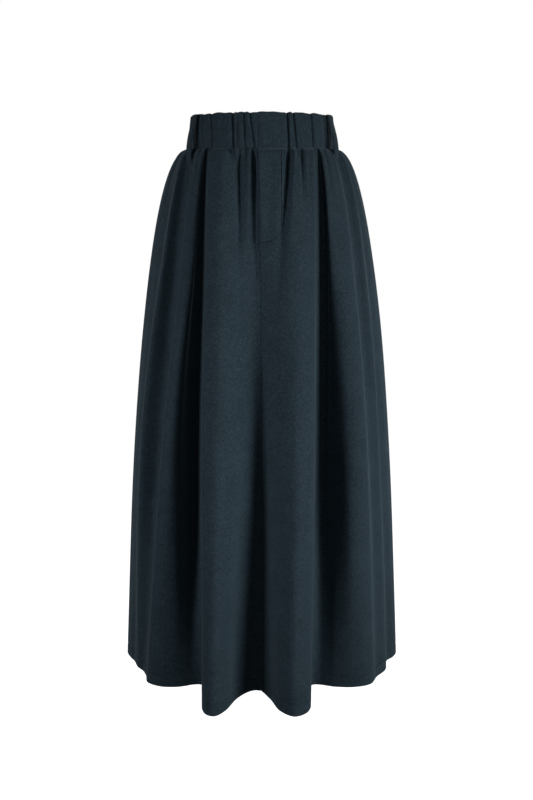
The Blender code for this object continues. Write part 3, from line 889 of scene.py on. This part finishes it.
def fly_shares():
    """Places of the placket's columns on the panel, closer at its edge, and their share of its width."""
    steps = np.linspace(0, 1, FLY_COLUMNS + 1)
    places = FLY_EDGE_PLACE * (1 - (1 - steps) ** FLY_SPACING_POWER)
    across = along(fold_points(0.0), places)[:, 0]
    return places, (across - across[0]) / (across[-1] - across[0])


def fly_foot(shares):
    """How far below the seam the placket's lower edge is, at shares of its width: the foot of a J."""
    return FLY_STRAIGHT + (FLY_LENGTH - FLY_STRAIGHT) * (1 - (FLY_FOOT_SHARE * shares) ** FLY_FOOT_POWER)


def fly_point(drop, place, lift):
    """One point of the placket above the panel, and the direction out of it."""
    spots, outward = on_skirt(drop, [place], lift)
    return spots[0], outward[0]


def fly(material):
    """The placket: a thin layer on the panel whose edge is rolled under and drawn in by its stitching."""
    places, shares = fly_shares()
    foot = fly_foot(shares)
    drops = [np.full(len(places), drop) for drop in np.linspace(FLY_TOP, FLY_STRAIGHT, FLY_ROWS + 1)]
    for step in range(1, FLY_FOOT_ROWS + 1):
        part = 1 - (1 - step / FLY_FOOT_ROWS) ** FLY_SPACING_POWER
        drops.append(FLY_STRAIGHT + (foot - FLY_STRAIGHT) * part)
    rows = []
    for level in drops:
        row = []
        for place, share, drop, bottom in zip(places, shares, level, foot):
            from_edge = min((1 - share) * FLY_WIDTH, bottom - drop)
            from_stitches = (from_edge - FLY_STITCH_INSET) / FLY_GROOVE_WIDTH
            lift = FLY_LIFT * smooth_step(from_edge / FLY_EDGE_WIDTH)
            lift = lift * smooth_step((drop - FLY_TOP) / FLY_TOP_RISE) - FLY_SUNK
            lift -= FLY_GROOVE * math.exp(-(from_stitches**2))
            row.append(fly_point(drop, max(place, FLY_SEAM_PLACE), lift)[0])
        rows.append(row)
    piece = cloth_object("fly_cloth", rows, material)
    thicken(piece, FLY_WALL)
    return piece


def fly_stitching(material):
    """The J of stitches that holds the placket down."""
    places, shares = fly_shares()
    inside = 1 - FLY_STITCH_INSET / FLY_WIDTH
    lift = FLY_LIFT - FLY_SUNK - FLY_GROOVE
    corner = float(fly_foot(1.0)) - FLY_STITCH_INSET
    path = []
    for drop in np.linspace(FLY_TOP_RISE, corner, FLY_ROWS):
        path.append(fly_point(drop, np.interp(inside, shares, places), lift))
    for share in np.linspace(1, FLY_STITCH_END, FLY_ROWS)[1:]:
        drop = float(fly_foot(share)) - FLY_STITCH_INSET
        path.append(fly_point(drop, np.interp(share * inside, shares, places), lift))
    spots, outward = zip(*path)
    return stitching("fly_stitching", [(spots, outward)], material)


def band_stitching(material):
    """The row of stitches in the waist seam, just below the band's edge."""
    places = np.linspace(0, len(RING), len(RING) * RING_STEPS * 2 + 1)
    path = on_skirt(WAIST_STITCH_DROP, places)
    return stitching("band_stitching", [path], material)


def cut_corners(path, rounds):
    """A smooth path through the middles of another path's stretches."""
    for _ in range(rounds):
        early = path[:-1] * (1 - CORNER_CUT) + path[1:] * CORNER_CUT
        late = path[:-1] * CORNER_CUT + path[1:] * (1 - CORNER_CUT)
        middle = np.stack([early, late], axis=1).reshape(-1, 2)
        path = np.concatenate([path[:1], middle, path[-1:]])
    return path


class LoopPlace:
    """Where a belt loop hangs: a point of the band and the directions along it and out of it."""

    def __init__(self, loop):
        turns = np.array([loop.turn - 1, loop.turn, loop.turn + 1])
        spots = on_oval(turns, BAND_HALF_WIDTH, BAND_HALF_DEPTH)
        self.turn = loop.turn
        self.foot = loop.foot
        self.base = spots[1]
        self.ahead = unit(spots[2] - spots[0])
        self.outward = np.array([self.ahead[1], -self.ahead[0]])

    def skirt_reach(self, height):
        """How far out the skirt's cloth stands behind the loop, at a height above the seam."""
        start = place_of_turn(self.turn)
        places = np.linspace(start - LOOP_SEARCH, start + LOOP_SEARCH, LOOP_STEPS)
        offsets = skirt_section(-height - SEAM_GAP, places)[:, :2] - self.base
        beside = np.abs(offsets @ self.ahead) < LOOP_WIDTH * LOOP_BESIDE
        return min((offsets @ self.outward)[beside].mean(), LOOP_REACH)

    def path(self):
        """Heights above the seam and reaches of the loop's middle, from the band's top to its sewn end."""
        hanging = np.array([(arch.height * MM, arch.reach * MM) for arch in LOOP_ARCH])
        sewn = []
        for height in np.linspace(self.foot + LOOP_FOOT_WIDTH, LOOP_SEWN_HEIGHT, LOOP_SEWN_POINTS) * MM:
            sewn.append((height, self.skirt_reach(height) + LOOP_GAP + LOOP_WALL / 2))
        lowest = self.foot * MM
        inner = sewn[0][1]
        outer = max(hanging[-1][1], inner + LOOP_FOOT_WIDTH * MM)
        hanging[:, 1] *= 1 + (outer / hanging[-1][1] - 1) * smooth_step(1 - hanging[:, 0] / hanging[0][0])
        rounding = LOOP_FOOT_WIDTH * MM * LOOP_FOOT_ROUND
        turn = [(lowest, outer - rounding), (lowest, inner + rounding)]
        path = cut_corners(np.concatenate([hanging, turn, sewn]), CORNER_ROUNDS)
        lengths = polyline_lengths(path)
        even = np.linspace(0, lengths[-1], LOOP_STEPS + 1)
        return np.stack([np.interp(even, lengths, path[:, axis]) for axis in (0, 1)], axis=1)

    def points(self, sideways, lift):
        """Points of the loop beside its middle and above its middle layer, and the directions out of it."""
        path = self.path()
        run = unit(np.gradient(path, axis=0))
        out = np.stack([run[:, 1], -run[:, 0]], axis=1)
        spots = path + out * np.asarray(lift)[..., None]
        place = self.base + self.outward * spots[:, 1:] + self.ahead * sideways
        outward = np.column_stack([self.outward * out[:, 1:], out[:, 0]])
        return np.column_stack([place, SEAM_Z + spots[:, 0]]), outward


def loop_profile():
    """Half the loop's outline across: sideways places and half thicknesses, drawn in at the stitching."""
    places = np.array(LOOP_PROFILE) * LOOP_WIDTH / 2
    from_stitches = (LOOP_WIDTH / 2 - np.abs(places) - LOOP_EDGE_STITCH) / LOOP_GROOVE_WIDTH
    rounding = (1 - np.abs(np.array(LOOP_PROFILE)) ** LOOP_ROUNDING) ** 0.5
    middle = LOOP_BULGE * np.cos(np.array(LOOP_PROFILE) * math.pi / 2) ** 2
    halves = (LOOP_WALL / 2 + middle - LOOP_GROOVE * np.exp(-(from_stitches**2))) * rounding
    return places, halves


def belt_loop(loop, material):
    """A belt loop: a folded strip with two rows of edge stitching, closed at both ends."""
    place = LoopPlace(loop)
    sides, halves = loop_profile()
    outline = list(zip(sides, halves)) + list(zip(sides[-2:0:-1], -halves[-2:0:-1]))
    columns = [place.points(side, np.full(LOOP_STEPS + 1, half))[0] for side, half in outline]
    grid = np.stack(columns + columns[:1], axis=1)
    height, width = grid.shape[:2]
    loose = [(face % width % (width - 1)) + face // width * (width - 1) for face in grid_faces(height, width)]
    faces = [list(face) for face in loose]
    last = (height - 1) * (width - 1)
    faces.append(list(range(width - 1))[::-1])
    faces.append(list(range(last, last + width - 1)))
    points = grid[:, :-1].reshape(-1, 3)
    piece = mesh_object(loop.name + "_strip", points, faces, material)
    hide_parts(loop.name)


def loop_stitching(material):
    """Edge stitching of all belt loops, on their outer faces."""
    paths = []
    lift = np.full(LOOP_STEPS + 1, LOOP_WALL / 2 - LOOP_GROOVE + LOOP_BULGE * LOOP_STITCH_BULGE)
    for loop in LOOPS:
        for side in (-1, 1):
            sideways = side * (LOOP_WIDTH / 2 - LOOP_EDGE_STITCH)
            paths.append(LoopPlace(loop).points(sideways, lift))
    return stitching("loop_stitching", paths, material)


def add_node(tree, kind, **settings):
    """A shader node with its settings; those that name an input set that input."""
    node = tree.nodes.new(kind)
    for name, value in settings.items():
        label = name.replace("_", " ").title()
        if label in node.inputs:
            node.inputs[label].default_value = value
        else:
            setattr(node, name, value)
    return node


def noise(tree, where, grain):
    """Even noise with features of one size in metres, spread to run from 0 to 1."""
    texture = add_node(tree, "ShaderNodeTexNoise", scale=1 / grain.size, detail=grain.detail)
    tree.links.new(where, texture.inputs["Vector"])
    spread = add_node(tree, "ShaderNodeMapRange", from_min=grain.low, from_max=grain.high)
    tree.links.new(texture.outputs["Fac"], spread.inputs["Value"])
    return spread.outputs["Result"]


def weighted_sum(tree, parts, start):
    """A start value plus each part times its weight."""
    total = None
    for part, weight in parts:
        step = add_node(tree, "ShaderNodeMath", operation="MULTIPLY_ADD")
        tree.links.new(part, step.inputs[0])
        step.inputs[1].default_value = weight
        if total is None:
            step.inputs[2].default_value = start
        else:
            tree.links.new(total, step.inputs[2])
        total = step.outputs[0]
    return total


def suiting(name, dark, light, twill):
    """Brushed melange suiting: flecked fibres over a fine twill, with slow mottling and a soft nap."""
    material = bpy.data.materials.new(name)
    material.use_nodes = True
    tree = material.node_tree
    shader = tree.nodes["Principled BSDF"]
    where = tree.nodes.new("ShaderNodeTexCoord")
    spot = where.outputs["Object"]
    grains = [FIBRES, TUFTS, MOTTLE, FLECKS]
    noises = [noise(tree, spot, grain) for grain in grains]
    fibres, tufts = noises[:2]
    parts = [(result, grain.weight) for result, grain in zip(noises, grains)]
    both_ways = FIBRES.weight + TUFTS.weight + MOTTLE.weight
    shade = weighted_sum(tree, parts, 0.5 - both_ways / 2)
    colour = add_node(tree, "ShaderNodeMix", data_type="RGBA")
    tree.links.new(shade, colour.inputs["Factor"])
    colour.inputs[MIX_FIRST].default_value = dark
    colour.inputs[MIX_SECOND].default_value = light
    tree.links.new(colour.outputs[MIX_RESULT], shader.inputs["Base Color"])
    height = [(fibres, FIBRE_BUMP), (tufts, TUFT_BUMP)]
    if twill:
        threads = tree.nodes.new("ShaderNodeUVMap")
        threads.uv_map = "threads"
        weave = add_node(tree, "ShaderNodeTexWave", bands_direction="DIAGONAL", scale=TWILL_SCALE)
        tree.links.new(threads.outputs["UV"], weave.inputs["Vector"])
        height.append((weave.outputs["Fac"], TWILL_BUMP))
    bump = add_node(tree, "ShaderNodeBump", strength=BUMP_STRENGTH, distance=BUMP_DEPTH)
    tree.links.new(weighted_sum(tree, height, 0.0), bump.inputs["Height"])
    tree.links.new(bump.outputs["Normal"], shader.inputs["Normal"])
    rough = weighted_sum(tree, [(tufts, TUFT_ROUGHNESS)], CLOTH_ROUGHNESS)
    tree.links.new(rough, shader.inputs["Roughness"])
    shader.inputs["Specular IOR Level"].default_value = CLOTH_SPECULAR
    shader.inputs["Sheen Weight"].default_value = SHEEN_WEIGHT
    shader.inputs["Sheen Roughness"].default_value = SHEEN_ROUGHNESS
    shader.inputs["Sheen Tint"].default_value = SHEEN_TINT
    return material


def add_camera():
    """The camera at the photo's place and angle."""
    camera = bpy.data.cameras.new("camera")
    camera.lens = CAMERA_LENS
    camera.sensor_width = CAMERA_SENSOR
    piece = bpy.data.objects.new("camera", camera)
    piece.location = CAMERA_PLACE
    piece.rotation_euler = (math.radians(90 - CAMERA_PITCH), 0, 0)
    bpy.context.scene.collection.objects.link(piece)
    bpy.context.scene.camera = piece


def add_lights():
    """Large soft lights at the sides, in front and behind, as in a studio."""
    for light in LIGHTS:
        lamp = bpy.data.lights.new(light.name, "AREA")
        lamp.shape = "RECTANGLE"
        lamp.size = light.width
        lamp.size_y = light.height
        lamp.spread = math.radians(light.spread)
        lamp.energy = light.power
        piece = bpy.data.objects.new(light.name, lamp)
        angle = math.radians(light.turn)
        offset = Vector((math.sin(angle) * LIGHT_DISTANCE, -math.cos(angle) * LIGHT_DISTANCE, light.up))
        piece.location = Vector(LIGHT_TARGET) + offset
        piece.rotation_euler = offset.to_track_quat("Z", "Y").to_euler()
        bpy.context.scene.collection.objects.link(piece)


def add_surroundings():
    """A white backdrop that hardly lights the cloth, and a pale floor far below the hem."""
    world = bpy.data.worlds.new("studio")
    world.use_nodes = True
    tree = world.node_tree
    background = tree.nodes["Background"]
    background.inputs["Color"].default_value = (1, 1, 1, 1)
    ray = tree.nodes.new("ShaderNodeLightPath")
    strength = add_node(tree, "ShaderNodeMapRange", to_min=AMBIENT, to_max=WHITE)
    tree.links.new(ray.outputs["Is Camera Ray"], strength.inputs["Value"])
    tree.links.new(strength.outputs["Result"], background.inputs["Strength"])
    bpy.context.scene.world = world

    paint = bpy.data.materials.new("pale floor")
    paint.use_nodes = True
    shader = paint.node_tree.nodes["Principled BSDF"]
    shader.inputs["Base Color"].default_value = FLOOR_COLOUR
    shader.inputs["Emission Color"].default_value = (1, 1, 1, 1)
    shader.inputs["Emission Strength"].default_value = WHITE
    bpy.ops.mesh.primitive_plane_add(size=FLOOR_SIZE, location=(0, 0, FLOOR_Z))
    floor = bpy.context.object
    floor.name = "floor"
    floor.data.materials.append(paint)
    floor.visible_diffuse = False
    floor.visible_glossy = False
    floor.visible_shadow = False


def build():
    """Every piece of the skirt, each riding on its one body."""
    cloth = suiting("suiting", CLOTH_DARK, CLOTH_LIGHT, True)
    strip_cloth = suiting("loop suiting", CLOTH_DARK, CLOTH_LIGHT, False)
    # The thread material is darker than the cloth, partly as painted groove shade along every row of
    # stitches.
    thread = suiting("thread", THREAD_AND_GROOVE_SHADE_DARK, THREAD_AND_GROOVE_SHADE_LIGHT, False)
    panels = [
        ("front_right", 0, RIGHT_SEAM_PLACE),
        ("back_right", RIGHT_SEAM_PLACE, BACK_SEAM_PLACE),
        ("back_left", BACK_SEAM_PLACE, LEFT_SEAM_PLACE),
        ("front_left", LEFT_SEAM_PLACE, len(RING)),
    ]
    for node, first, last in panels:
        piece = panel(node + "_cloth", first, last, cloth)
        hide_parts(node)
    band = waistband(cloth)
    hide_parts("waistband")
    placket = fly(cloth)
    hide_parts("fly")
    for loop in LOOPS:
        belt_loop(loop, strip_cloth)
    hem_stitching(thread)
    fly_stitching(thread)
    band_stitching(thread)
    loop_stitching(thread)


add_camera()
build()
add_lights()
add_surroundings()
bpy.context.scene.view_settings.view_transform = "Standard"
